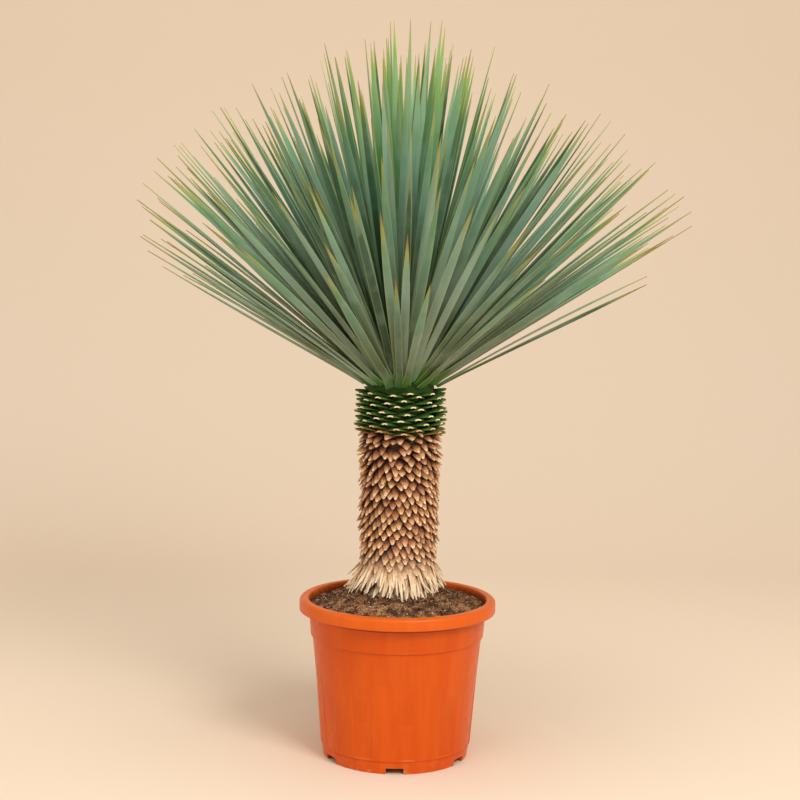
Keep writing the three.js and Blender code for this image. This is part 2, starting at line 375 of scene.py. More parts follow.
@dataclass(frozen=True)
class Finish:
    """What every finish has: a name, a gloss and how strongly its relief shows."""

    name: str
    roughness: Point = (0.5, 0.6)
    relief: float = 0.3
    relief_depth: float = 0.3 * MM

    def start(self) -> tuple[bpy.types.Material, Graph, bpy.types.Node]:
        """A new material, its graph and its surface shader."""
        material = bpy.data.materials.new(self.name)
        material.use_nodes = True
        return material, Graph(material.node_tree), material.node_tree.nodes["Principled BSDF"]

    def wire(
        self, graph: Graph, shader: bpy.types.Node, colour: Socket, gloss: Socket, height: Socket
    ) -> None:
        """Feeds the shader its colour, its roughness from a 0 to 1 mask, and its relief from a height.

        Args:
            graph: The material's graph.
            shader: Its surface shader.
            colour: The colour socket.
            gloss: A mask that moves the roughness through its range.
            height: The height socket of the relief.
        """
        bump = graph.add("Bump", {"Strength": self.relief, "Distance": self.relief_depth, "Height": height})
        graph.tree.links.new(colour, shader.inputs["Base Color"])
        graph.tree.links.new(graph.range(gloss, (0, 1), self.roughness), shader.inputs["Roughness"])
        graph.tree.links.new(bump.outputs["Normal"], shader.inputs["Normal"])

    def effect(self, graph: Graph, group: bpy.types.NodeTree, inputs: dict) -> bpy.types.Node:
        """Places a shared effect in the material.

        Args:
            graph: The material's graph.
            group: The effect's node group.
            inputs: Its inputs by name, each with a value or a socket.

        Returns:
            The placed node.
        """
        node = graph.add("Group", node_tree=group)
        for key, value in inputs.items():
            if isinstance(value, Socket):
                graph.tree.links.new(value, node.inputs[key])
            else:
                node.inputs[key].default_value = value
        return node

    def mottle(self, graph: Graph, scale: float) -> bpy.types.bpy_prop_collection:
        """The Broad and Fine outputs of the mottle at a scale."""
        return self.effect(graph, SurfaceEffects.mottle(), {"Point": graph.place(), "Scale": scale}).outputs

    def fibres(self, graph: Graph, threads: float, breaks: float) -> Socket:
        """The height of the lengthwise threads, with how many there are across and how often they break."""
        node = self.effect(graph, SurfaceEffects.fibres(), {"Threads": threads, "Breaks": breaks})
        return node.outputs["Height"]


@dataclass(frozen=True)
class MouldedPlastic(Finish):
    """Satin orange plastic with faint flow marks, scuffs on the wall, soil stains inside the rim and a painted
    highlight that lightens the whole rim.
    """

    base: Colour = srgb(208, 80, 0)
    light: Colour = srgb(232, 112, 28)
    rim_highlight_line: float = 0.255
    deep: Colour = srgb(186, 66, 0)
    dust: Colour = srgb(206, 160, 120)
    stain: Colour = srgb(96, 48, 24)
    stain_line: float = 0.268
    inside_radius: float = 0.1555
    dust_line: float = 0.03

    def material(self) -> bpy.types.Material:
        """Builds the finish."""
        material, graph, shader = self.start()
        place = graph.place()
        mottle = self.mottle(graph, 9.0)
        stretched = graph.add("Mapping", {"Vector": place, "Scale": (46.0, 46.0, 5.0)}).outputs[0]
        flow = graph.noise(stretched, 1.0, 4.0)
        colour = graph.blend(graph.range(flow, (0.35, 0.65), (0.0, 0.22)), self.base, self.light)
        colour = graph.blend(graph.range(mottle["Broad"], (0.2, 1.0), (0.0, 0.16)), colour, self.deep)
        split = graph.add("SeparateXYZ", {0: place}).outputs
        # Painted highlight: from the rim's foot up, the colour is blended about a third of the way towards the
        # lighter orange.
        rim = graph.range(split["Z"], (self.rim_highlight_line - 0.002, self.rim_highlight_line + 0.002), (0.0, 0.35))
        colour = graph.blend(rim, colour, self.light)
        foot = graph.range(split["Z"], (0.0, self.dust_line), (1.0, 0.0))
        scuffs = graph.range(graph.noise(place, 60.0, 6.0, 0.7), (0.5, 0.72), (0.0, 0.5))
        colour = graph.blend(graph.math("MULTIPLY", foot, scuffs), colour, self.dust)
        plan = graph.add("CombineXYZ", {0: split["X"], 1: split["Y"]}).outputs[0]
        radius = graph.add("VectorMath", {0: plan}, operation="LENGTH").outputs["Value"]
        inside = graph.math("LESS_THAN", radius, self.inside_radius)
        waver = graph.sway(graph.noise(place, 90.0, 4.0), 0.014)
        depth = graph.math("SUBTRACT", graph.math("ADD", split["Z"], waver), self.stain_line)
        soiled = graph.range(depth, (-0.003, 0.004), (0.7, 0.0))
        high = graph.math("GREATER_THAN", split["Z"], self.stain_line - 0.02)
        stained = graph.math("MULTIPLY", graph.math("MULTIPLY", inside, soiled), high)
        colour = graph.blend(stained, colour, self.stain)
        grain = graph.noise(place, 1400.0, 2.0)
        height = graph.math("ADD", graph.math("MULTIPLY", grain, 0.5), graph.math("MULTIPLY", flow, 1.2))
        self.wire(graph, shader, colour, mottle["Fine"], height)
        shader.inputs["Specular IOR Level"].default_value = 0.25
        return material


@dataclass(frozen=True)
class PottingMix(Finish):
    """Damp peat and bark: dark brown with lighter crumbs, and matt."""

    dark: Colour = srgb(40, 22, 12)
    middle: Colour = srgb(122, 80, 48)
    light: Colour = srgb(190, 144, 98)

    def material(self) -> bpy.types.Material:
        """Builds the finish."""
        material, graph, shader = self.start()
        mottle = self.mottle(graph, 55.0)
        broad = graph.math("MULTIPLY", mottle["Broad"], 0.55)
        fine = graph.math("MULTIPLY", mottle["Fine"], 0.45)
        value = graph.math("ADD", broad, fine)
        colour = graph.ramp(value, [(0.22, self.dark), (0.52, self.middle), (0.85, self.light)])
        self.wire(graph, shader, colour, mottle["Fine"], value)
        return material


@dataclass(frozen=True)
class LooseBits(Finish):
    """Crumbs, fibres and chips on the soil. Each bit's tone picks its colour."""

    stops: tuple[tuple[float, Colour], ...] = (
        (0.0, srgb(46, 28, 18)),
        (0.3, srgb(96, 62, 40)),
        (0.58, srgb(142, 98, 64)),
        (0.8, srgb(178, 134, 92)),
        (0.93, srgb(214, 180, 138)),
        (1.0, srgb(246, 236, 218)),
    )

    def material(self) -> bpy.types.Material:
        """Builds the finish."""
        material, graph, shader = self.start()
        mottle = self.mottle(graph, 160.0)
        drift = graph.sway(mottle["Broad"], 0.12)
        tone = graph.math("ADD", graph.attribute("tone"), drift, clamp=True)
        colour = graph.ramp(tone, list(self.stops))
        self.wire(graph, shader, colour, mottle["Fine"], mottle["Fine"])
        return material


@dataclass(frozen=True)
class DryLeafBase(Finish):
    """A dead leaf base: dark at its root, tan, then pale at its tip, with lengthwise fibres. The dark root is
    partly painted shade under the base that overlaps it, and the pale tip is partly a painted highlight.
    """

    # Painted shade and highlight: the near-black low part of this ramp paints shade where each base sits under
    # the one above, and the near-white tip is partly a painted highlight.
    stops: tuple[tuple[float, Colour], ...] = (
        (0.0, srgb(30, 13, 5)),
        (0.44, srgb(74, 38, 18)),
        (0.64, srgb(160, 104, 62)),
        (0.84, srgb(228, 178, 126)),
        (1.0, srgb(255, 236, 204)),
    )
    dull: Colour = srgb(168, 110, 66)
    pale: Colour = srgb(255, 238, 206)
    threads: float = 7.0

    def material(self) -> bpy.types.Material:
        """Builds the finish."""
        material, graph, shader = self.start()
        fibres = self.fibres(graph, self.threads, 3.0)
        mottle = self.mottle(graph, 40.0)
        drift = graph.sway(mottle["Fine"], 0.16)
        along = graph.math("ADD", graph.attribute("along"), drift, clamp=True)
        colour = graph.ramp(along, list(self.stops))
        tone = graph.attribute("tone")
        colour = graph.blend(graph.range(tone, (0.45, 1.0), (0.0, 0.55)), colour, self.dull, "MULTIPLY")
        bleached = graph.range(graph.attribute("dryness"), (0.0, 1.0), (0.0, 0.95))
        # Bleaching fades towards the root, partly as real weathering and partly to keep the painted shade at
        # the roots.
        bleached = graph.math("MULTIPLY", bleached, graph.range(along, (0.1, 0.7), (0.15, 1.0)))
        colour = graph.blend(bleached, colour, self.pale)
        colour = graph.blend(graph.range(fibres, (0.0, 0.5), (0.45, 0.0)), colour, self.dull, "MULTIPLY")
        self.wire(graph, shader, colour, mottle["Fine"], fibres)
        return material


@dataclass(frozen=True)
class StemCore(Finish):
    """The stem behind the leaf bases: dark brown, and dark green where it is still alive."""

    green_from: float = 0.56
    brown: Colour = srgb(40, 20, 10)
    tan: Colour = srgb(92, 54, 28)
    green: Colour = srgb(48, 84, 22)

    def material(self) -> bpy.types.Material:
        """Builds the finish."""
        material, graph, shader = self.start()
        place = graph.place()
        mottle = self.mottle(graph, 60.0)
        height = graph.add("SeparateXYZ", {0: place}).outputs["Z"]
        border = graph.math("ADD", height, graph.sway(mottle["Broad"], 0.02))
        alive = graph.range(border, (self.green_from - 0.01, self.green_from), (0.0, 1.0))
        colour = graph.blend(mottle["Fine"], self.brown, self.tan)
        colour = graph.blend(alive, colour, self.green)
        self.wire(graph, shader, colour, mottle["Fine"], mottle["Fine"])
        return material


@dataclass(frozen=True)
class GreenLeafBase(Finish):
    """A leaf base cut while green: dark green with paler edges, near black at its root as painted shade
    between the rows, and a cream cut end that dries to tan and is tan at its sides as painted shade.
    """

    root: Colour = srgb(22, 44, 8)
    body: Colour = srgb(52, 96, 26)
    edge: Colour = srgb(88, 130, 44)
    withered: Colour = srgb(128, 104, 48)
    cut: Colour = srgb(255, 240, 208)
    dried: Colour = srgb(214, 160, 100)
    cut_at: float = 0.955

    def material(self) -> bpy.types.Material:
        """Builds the finish."""
        material, graph, shader = self.start()
        along = graph.attribute("along")
        fibres = self.fibres(graph, 9.0, 2.0)
        mottle = self.mottle(graph, 60.0)
        # Painted shade: the near-black root colour darkens each base where it sits under the row above.
        colour = graph.ramp(along, [(0.0, self.root), (0.45, self.body), (0.85, self.edge)])
        colour = graph.blend(graph.range(fibres, (0.0, 1.0), (0.35, 0.0)), colour, self.root)
        dryness = graph.attribute("dryness")
        colour = graph.blend(graph.range(dryness, (0.5, 1.0), (0.0, 0.6)), colour, self.withered)
        cream = graph.blend(graph.range(mottle["Fine"], (0.4, 1.0), (0.0, 0.35)), self.cut, self.dried)
        cream = graph.blend(graph.range(dryness, (0.0, 1.0), (0.0, 0.8)), cream, self.dried)
        # Painted shade: the sides of the cut end, where the arch hangs down, turn tan.
        rim = graph.range(graph.math("ABSOLUTE", graph.attribute("across")), (0.7, 1.0), (0.0, 0.6))
        cream = graph.blend(rim, cream, self.dried)
        wander = graph.sway(fibres, 0.06)
        frayed = graph.math("ADD", along, wander)
        is_cut = graph.range(frayed, (self.cut_at - 0.02, self.cut_at + 0.02), (0.0, 1.0))
        colour = graph.blend(is_cut, colour, cream)
        self.wire(graph, shader, colour, mottle["Fine"], fibres)
        return material


@dataclass(frozen=True)
class SwordLeaf(Finish):
    """A stiff leaf: green at its root, grey-olive darkened as painted shade deep in the crown, then
    blue-green, with yellowish margins and a dry tip. By its tone a leaf turns towards the pale bloom, which is
    partly a painted sheen, or towards painted shade.
    """

    # The stops at 0.06 and 0.14 are darkened as painted shade deep in the crown.
    mature: tuple[tuple[float, Colour], ...] = (
        (0.0, srgb(66, 122, 24)),
        (0.06, srgb(68, 110, 32)),
        (0.14, srgb(86, 102, 66)),
        (0.4, srgb(106, 132, 108)),
        (0.66, srgb(108, 156, 132)),
        (0.88, srgb(110, 160, 112)),
        (1.0, srgb(160, 156, 84)),
    )
    young: tuple[tuple[float, Colour], ...] = (
        (0.0, srgb(84, 134, 44)),
        (0.35, srgb(86, 142, 74)),
        (0.7, srgb(100, 158, 74)),
        (0.92, srgb(134, 176, 62)),
        (1.0, srgb(184, 178, 104)),
    )
    bloom_and_sheen: Colour = srgb(166, 196, 186)
    shade: Colour = srgb(34, 70, 42)
    margin: Colour = srgb(158, 178, 118)
    scorch: Colour = srgb(140, 100, 54)
    yellow: Colour = srgb(166, 164, 66)

    def material(self) -> bpy.types.Material:
        """Builds the finish."""
        material, graph, shader = self.start()
        along = graph.attribute("along")
        tone = graph.attribute("tone")
        dryness = graph.attribute("dryness")
        side = graph.math("ABSOLUTE", graph.attribute("across"))
        fibres = self.fibres(graph, 9.0, 5.0)
        mottle = self.mottle(graph, 14.0)
        old = graph.ramp(along, list(self.mature))
        fresh = graph.ramp(along, list(self.young))
        colour = graph.blend(graph.attribute("youth"), old, fresh)
        # Painted light and shade: leaves with a high tone turn towards the bloom colour, which is partly a
        # painted sheen, and leaves with a low tone turn towards the painted shade colour.
        colour = graph.blend(graph.range(tone, (0.5, 1.0), (0.0, 0.45)), colour, self.bloom_and_sheen)
        colour = graph.blend(graph.range(tone, (0.0, 0.6), (0.85, 0.0)), colour, self.shade)
        colour = graph.blend(graph.range(fibres, (0.0, 1.0), (0.22, 0.0)), colour, self.shade)
        colour = graph.blend(graph.range(mottle["Broad"], (0.3, 1.0), (0.0, 0.2)), colour, self.bloom_and_sheen)
        colour = graph.blend(graph.range(side, (0.7, 1.0), (0.0, 0.5)), colour, self.margin)
        reach = graph.math("MULTIPLY", dryness, 0.14)
        wander = graph.sway(fibres, 0.05)
        tip = graph.math("ADD", graph.math("ADD", along, reach), wander)
        colour = graph.blend(graph.range(tip, (0.88, 1.06), (0.0, 0.75)), colour, self.yellow)
        colour = graph.blend(graph.range(tip, (0.99, 1.12), (0.0, 0.85)), colour, self.scorch)
        self.wire(graph, shader, colour, mottle["Fine"], fibres)
        shader.inputs["Specular IOR Level"].default_value = 0.45
        return material


@dataclass(frozen=True)
class StudioPaper(Finish):
    """The plain seamless ground behind and under the plant."""

    colour: Colour = srgb(234, 217, 197)

    def material(self) -> bpy.types.Material:
        """Builds the finish."""
        material, _, shader = self.start()
        shader.inputs["Base Color"].default_value = self.colour
        shader.inputs["Roughness"].default_value = 0.95
        shader.inputs["Specular IOR Level"].default_value = 0.1
        return material


# ---------------------------------------------------------------- blades


@dataclass(frozen=True)
class Blade:
    """The shape of one leaf, leaf base or strip: a thin tapering sheet with an arched section."""

    length: float
    width: float
    thickness: float
    arch: float
    outline: Callable[[float], float]
    rows: int
    columns: int = 2

    def half_width(self, along: float) -> float:
        """Half the blade's width at a share of its length."""
        return self.width / 2 * self.outline(along)


class Spine:
    """The curve that a blade follows: it leaves its seat in one direction and bends steadily."""

    def __init__(
        self, seat: Vector, heading: Vector, side: Vector, length: float, bend: Vector, twist: float
    ) -> None:
        """Keeps the curve's measures.

        Args:
            seat: Where the blade starts.
            heading: Its first direction, a unit vector.
            side: The direction across the blade at its seat, a unit vector.
            length: The blade's length.
            bend: How far the tip is moved from the straight line, as a vector in metres.
            twist: How far the blade turns about its own length by the tip, in radians.
        """
        self.seat = seat
        self.heading = heading
        self.side = side
        self.length = length
        self.bend = bend
        self.twist = twist

    def at(self, along: float) -> tuple[Vector, Vector, Vector]:
        """The middle, the sideways and the upward direction of the blade at a share of its length."""
        middle = self.seat + self.heading * (self.length * along) + self.bend * along**2
        tangent = (self.heading * self.length + self.bend * (2 * along)).normalized()
        side = (self.side - tangent * self.side.dot(tangent)).normalized()
        side.rotate(Matrix.Rotation(self.twist * along, 3, tangent))
        return middle, side, tangent.cross(side)


class BladeStack:
    """Gathers many blades into one mesh, each with its own across, along, tone and other values."""

    VALUES = ("across", "along", "tone", "dryness", "youth")

    def __init__(self) -> None:
        """Starts an empty stack."""
        self.bm = bmesh.new()

    def add(self, blade: Blade, spine: Spine, tone: float, dryness: float = 0.0, youth: float = 0.0) -> None:
        """Shapes a sheet along a spine, gives it its thickness and adds it.

        Args:
            blade: The sheet's outline and section.
            spine: The curve that it follows.
            tone: Its own shade, from 0 to 1.
            dryness: How far its tip has dried, from 0 to 1.
            youth: How young it is, from 0 to 1.
        """
        part = bmesh.new()
        layers = {name: part.verts.layers.float.new(name) for name in self.VALUES}
        bmesh.ops.create_grid(part, x_segments=blade.columns, y_segments=blade.rows, size=1.0)
        for vertex in part.verts:
            across = vertex.co.x
            along = (vertex.co.y + 1) / 2
            values = (across, along, tone, dryness, youth)
            for name, value in zip(self.VALUES, values):
                vertex[layers[name]] = value
            middle, side, up = spine.at(along)
            half = blade.half_width(along)
            crown = blade.arch * (1 - across * across) * (half / (blade.width / 2))
            vertex.co = middle + side * (across * half) + up * crown
        bmesh.ops.recalc_face_normals(part, faces=part.faces[:])
        bmesh.ops.solidify(part, geom=part.faces[:], thickness=blade.thickness)
        bmesh.ops.recalc_face_normals(part, faces=part.faces[:])
        mesh = bpy.data.meshes.new("blade")
        part.to_mesh(mesh)
        part.free()
        self.bm.from_mesh(mesh)
        bpy.data.meshes.remove(mesh)

    def finish(self, name: str, material: bpy.types.Material, sharp: float = 50) -> bpy.types.Object:
        """The stack as one piece."""
        return finished(self.bm, name, material, sharp)


def around(angle: float, radius: float, height: float) -> Vector:
    """The point at an angle and a radius from the plant's axis."""
    return Vector((radius * math.cos(angle), radius * math.sin(angle), height))


def outward(angle: float, tilt: float) -> Vector:
    """The unit direction at an angle round the axis and a tilt from upright, both in radians."""
    return around(angle, math.sin(tilt), math.cos(tilt))


# ---------------------------------------------------------------- the pot


@dataclass
class NurseryPot:
    """The injection-moulded pot: a turned wall with shallow panels, a deep rim and a notched foot."""

    height: float
    rim_radius: float
    wall: float = 3 * MM
    foot_wall: float = 4 * MM
    fillet: float = 1.2 * MM
    foot_radius: float = 125.4 * MM
    foot_top_radius: float = 128.4 * MM
    foot_height: float = 21 * MM
    wall_foot_radius: float = 130.4 * MM
    wall_top_radius: float = 145.5 * MM
    collar_foot_radius: float = 149.8 * MM
    collar_foot_height: float = 211 * MM
    collar_step: float = 1.6 * MM
    collar_top_radius: float = 153 * MM
    collar_top_height: float = 250 * MM
    lip_radius: float = 157 * MM
    lip_rounding: float = 3 * MM
    rim_depth: float = 21 * MM
    rim_rounding: float = 6.5 * MM
    floor_height: float = 6 * MM
    panels: int = 22
    steps_per_panel: int = 12
    panel_depth: float = 1.5 * MM
    panel_margin: float = 5 * MM
    panel_edge: float = 2 * MM
    sharp_angle: float = 24
    notches: int = 6
    notch_width: float = 30 * MM
    notch_height: float = 10.5 * MM
    notch_inner_radius: float = 106 * MM
    notch_rounding: float = 1.5 * MM

    def profile(self) -> list[Point]:
        """The half section, from the floor's underside out, up, over the rim and back down to the floor."""
        fillet = self.fillet
        foot_inside = self.foot_radius - self.foot_wall
        skirt_foot = self.height - self.rim_depth
        skirt_inside = self.rim_radius - self.wall
        underside = self.height - self.wall
        lip = self.lip_rounding
        rim = self.rim_rounding
        points: list[Point] = [(0, self.floor_height), (foot_inside, self.floor_height)]
        points.append((foot_inside, 0))
        points += arc((self.foot_radius - fillet, fillet), fillet, -90, 0, 4)
        points += arc((self.foot_top_radius - fillet, self.foot_height - fillet), fillet, 0, 50, 3)
        points += arc((self.wall_foot_radius - fillet, self.foot_height + 2 * fillet), fillet, -50, 0, 3)
        foot_margin = self.foot_height + self.panel_margin
        collar_margin = self.collar_foot_height - self.panel_margin
        edge = self.panel_edge
        for height in (foot_margin, foot_margin + edge, collar_margin - edge, collar_margin):
            points.append((self.wall_radius_at(height), height))
        points.append((self.wall_top_radius, self.collar_foot_height - self.collar_step))
        collar_foot = (self.collar_foot_radius - fillet, self.collar_foot_height + fillet / 2)
        points += arc(collar_foot, fillet, -70, 0, 4)
        points.append((self.collar_top_radius, self.collar_top_height))
        points.append((self.lip_radius, underside - self.wall))
        points.append((self.lip_radius + self.wall, underside))
        points.append((skirt_inside, underside))
        points.append((skirt_inside, skirt_foot + fillet))
        points += arc((self.rim_radius - fillet, skirt_foot + fillet), fillet, -120, 0, 5)
        points += arc((self.rim_radius - rim, self.height - rim), rim, 0, 90, 8)
        points += arc((self.lip_radius, self.height - lip), lip, 90, 180, 6)
        points.append((self.collar_top_radius - self.wall, self.collar_top_height))
        points.append((self.collar_foot_radius - self.wall, self.collar_foot_height))
        points.append((self.wall_foot_radius - self.wall, self.foot_height))
        points.append((self.foot_radius - self.wall, self.floor_height + self.wall))
        points.append((0, self.floor_height + self.wall))
        return points

    def sink_panels(self, bm: bmesh.types.BMesh) -> None:
        """Recesses every other panel of the outer wall, between the foot line and the collar."""
        low = self.foot_height + self.panel_margin - MM
        high = self.collar_foot_height - self.panel_margin + MM
        columns = self.panels * self.steps_per_panel
        for vertex in bm.verts:
            radius = vertex.co.xy.length
            wall_line = self.wall_radius_at(vertex.co.z) - self.wall / 2
            if not low < vertex.co.z < high or radius < wall_line:
                continue
            column = round((math.atan2(vertex.co.y, vertex.co.x) / FULL_TURN + 0.25) * columns) % columns
            panel, step = divmod(column, self.steps_per_panel)
            if panel % 2 == 0 and step > 0:
                vertex.co.xy *= 1 - self.panel_depth / radius

    def wall_radius_at(self, height: float) -> float:
        """The outside radius of the wall at a height."""
        share = (height - self.foot_height) / (self.collar_foot_height - self.foot_height)
        return mix(self.wall_foot_radius, self.wall_top_radius, share)

    def notch_cutter(self) -> bpy.types.Object:
        """Blocks that cut the notches, the first of them facing front."""
        bm = bmesh.new()
        reach = self.foot_top_radius + self.wall - self.notch_inner_radius
        size = Matrix.Diagonal((reach, self.notch_width, 2 * self.notch_height, 1))
        shift = Matrix.Translation((self.notch_inner_radius + reach / 2, 0, 0))
        for index in range(self.notches):
            turn = Matrix.Rotation(-math.pi / 2 + index * FULL_TURN / self.notches, 4, "Z")
            bmesh.ops.create_cube(bm, size=1.0, matrix=turn @ shift @ size)

        def runs_outwards(edge: bmesh.types.BMEdge) -> bool:
            """Whether an edge is level and shorter than the notch is wide."""
            rise = abs(edge.verts[0].co.z - edge.verts[1].co.z)
            return rise < MM and edge.calc_length() < self.notch_width - MM

        bmesh.ops.bevel(
            bm,
            geom=[edge for edge in bm.edges if runs_outwards(edge)],
            offset=self.notch_rounding,
            segments=2,
            profile=0.5,
            affect="EDGES",
            material=-1,
        )
        mesh = bpy.data.meshes.new("notch_cutter")
        bm.to_mesh(mesh)
        bm.free()
        cutter = bpy.data.objects.new("notch_cutter", mesh)
        bpy.context.scene.collection.objects.link(cutter)
        return cutter

    def build(self) -> bpy.types.Object:
        """Makes the pot and cuts its notches."""
        bm = spun(self.profile(), self.panels * self.steps_per_panel)
        self.sink_panels(bm)
        finish = MouldedPlastic("pot_plastic", roughness=(0.28, 0.4), relief=0.25, relief_depth=0.15 * MM)
        blank = finished(bm, "pot_blank", finish.material(), sharp=self.sharp_angle)
        cutter = self.notch_cutter()
        cut = blank.modifiers.new("notches", "BOOLEAN")
        cut.object = cutter
        cut.operation = "DIFFERENCE"
        graph = bpy.context.evaluated_depsgraph_get()
        mesh = bpy.data.meshes.new_from_object(blank.evaluated_get(graph))
        mesh.name = "pot_shell"
        mesh.set_sharp_from_angle(angle=math.radians(self.sharp_angle))
        for spare in (blank, cutter):
            bpy.data.objects.remove(spare)
        pot = bpy.data.objects.new("pot_shell", mesh)
        bpy.context.scene.collection.objects.link(pot)
        return dressed(pot, ["pot"])


# ---------------------------------------------------------------- the soil


class BitKind(Enum):
    """The loose bits on the soil."""

    CRUMB = "crumbs"
    FIBRE = "fibres"
    CHIP = "chips"


@dataclass
class PottingSoil:
    """The potting mix: a lumpy surface inside the pot, with crumbs, fibres and pale chips lying on it."""

    pot: NurseryPot
    edge_height: float = 263 * MM
    middle_height: float = 286 * MM
    foot_radius: float = 72 * MM
    edge_radius: float = 151 * MM
    rings: int = 62
    steps: int = 300
    crumbs: int = 2600
    fibres: int = 420
    chips: int = 60
    lump_scale: float = 60
    lump_height: float = 4.2 * MM
    grit_scale: float = 220
    grit_height: float = 2.2 * MM
    settled_width: float = 12 * MM
    settled_share: float = 0.35
    bits_from: float = 0.22

    def surface_height(self, x: float, y: float) -> float:
        """The height of the lumpy surface at a point."""
        radius = math.hypot(x, y)
        slope = smooth_step(self.foot_radius, self.edge_radius, radius)
        level = mix(self.middle_height, self.edge_height, slope)
        point = Vector((x, y, 0.3))
        lumps = noise.fractal(point * self.lump_scale, 1.0, 2.0, 3) * self.lump_height
        grit = noise.fractal(point * self.grit_scale, 0.9, 2.0, 3) * self.grit_height
        settle = smooth_step(self.edge_radius, self.edge_radius - self.settled_width, radius)
        return level + (lumps + grit) * mix(self.settled_share, 1.0, settle)

    def build_bed(self) -> bpy.types.Object:
        """The body of soil, which fills the pot."""
        pot = self.pot
        gap = 0.4 * MM
        floor = pot.floor_height + pot.wall + gap
        profile: list[Point] = [(0, floor), (pot.foot_radius - pot.wall - gap, floor)]
        profile.append((pot.wall_foot_radius - pot.wall - gap, pot.foot_height))
        profile.append((pot.collar_foot_radius - pot.wall - 2 * MM, pot.collar_foot_height))
        profile.append((self.edge_radius - gap, self.edge_height - 3 * MM))
        radii = [self.edge_radius * (1 - ring / self.rings) for ring in range(self.rings + 1)]
        profile += [(radius, self.edge_height) for radius in radii]
        bm = spun(profile, self.steps)
        for vertex in bm.verts:
            if vertex.co.z > self.edge_height - MM:
                vertex.co.z = self.surface_height(vertex.co.x, vertex.co.y)
        finish = PottingMix("potting_mix", roughness=(0.9, 1.0), relief=0.9, relief_depth=1.2 * MM)
        material = finish.material()
        return dressed(finished(bm, "soil_bed", material, sharp=180), ["soil"])

    def bit_shape(self, kind: BitKind, draw: random.Random) -> tuple[bmesh.types.BMesh, Matrix]:
        """Shapes one loose bit.

        Args:
            kind: Which kind of bit it is.
            draw: The source of random numbers.

        Returns:
            The bit's shape and the matrix that sizes and turns it.
        """
        bit = bmesh.new()
        turn = Euler([draw.uniform(0, FULL_TURN) for _ in range(3)]).to_matrix().to_4x4()
        if kind is BitKind.CRUMB:
            bmesh.ops.create_icosphere(bit, subdivisions=1, radius=1.0)
            size = min(4.6, draw.lognormvariate(0.15, 0.6)) * MM
            stretch = Matrix.Diagonal((size, size * draw.uniform(0.5, 1.0), size * draw.uniform(0.4, 0.8), 1))
            return bit, turn @ stretch
        bmesh.ops.create_cube(bit, size=1.0)
        heading = Matrix.Rotation(draw.uniform(0, FULL_TURN), 4, "Z")
        flat = heading @ Matrix.Rotation(draw.gauss(0, 0.3), 4, "Y")
        if kind is BitKind.FIBRE:
            size = (draw.uniform(4, 13) * MM, draw.uniform(0.35, 0.9) * MM, draw.uniform(0.3, 0.6) * MM)
            lengthwise = [e for e in bit.edges if abs(e.verts[0].co.x - e.verts[1].co.x) > 0.5]
            bmesh.ops.subdivide_edges(bit, edges=lengthwise, cuts=3)
            for vertex in bit.verts:
                vertex.co.y += draw.uniform(-0.5, 0.5) + 3 * math.sin(vertex.co.x * 3)
        else:
            size = (draw.uniform(2.5, 5.5) * MM, draw.uniform(1.2, 2.4) * MM, draw.uniform(0.5, 1.2) * MM)
            bmesh.ops.bevel(
                bit, geom=bit.edges[:], offset=0.18, segments=1, profile=0.5, affect="EDGES", material=-1
            )
        return bit, flat @ Matrix.Diagonal((*size, 1))

    def build_bits(self, draw: random.Random) -> None:
        """Scatters the loose bits over the surface, one piece for each kind."""
        counts = {BitKind.CRUMB: self.crumbs, BitKind.FIBRE: self.fibres, BitKind.CHIP: self.chips}
        tones = {BitKind.CRUMB: (0.0, 0.8), BitKind.FIBRE: (0.35, 0.97), BitKind.CHIP: (0.93, 1.0)}
        finish = LooseBits("loose_bits", roughness=(0.85, 0.95), relief=0.5, relief_depth=0.3 * MM)
        material = finish.material()
        for kind, count in counts.items():
            heap = bmesh.new()
            for _ in range(count):
                radius = math.sqrt(draw.uniform(self.bits_from, 1)) * (self.edge_radius - 3 * MM)
                angle = draw.uniform(0, FULL_TURN)
                x, y = radius * math.cos(angle), radius * math.sin(angle)
                place = Matrix.Translation((x, y, self.surface_height(x, y) + draw.uniform(0, 0.9) * MM))
                bit, shape = self.bit_shape(kind, draw)
                layer = bit.verts.layers.float.new("tone")
                tone = draw.uniform(*tones[kind]) ** (1.5 if kind is BitKind.CRUMB else 1)
                for vertex in bit.verts:
                    vertex[layer] = tone
                bit.transform(place @ shape)
                mesh = bpy.data.meshes.new("bit")
                bit.to_mesh(mesh)
                bit.free()
                heap.from_mesh(mesh)
                bpy.data.meshes.remove(mesh)
            dressed(finished(heap, "soil_" + kind.value, material, sharp=60))


# ---------------------------------------------------------------- the trunk


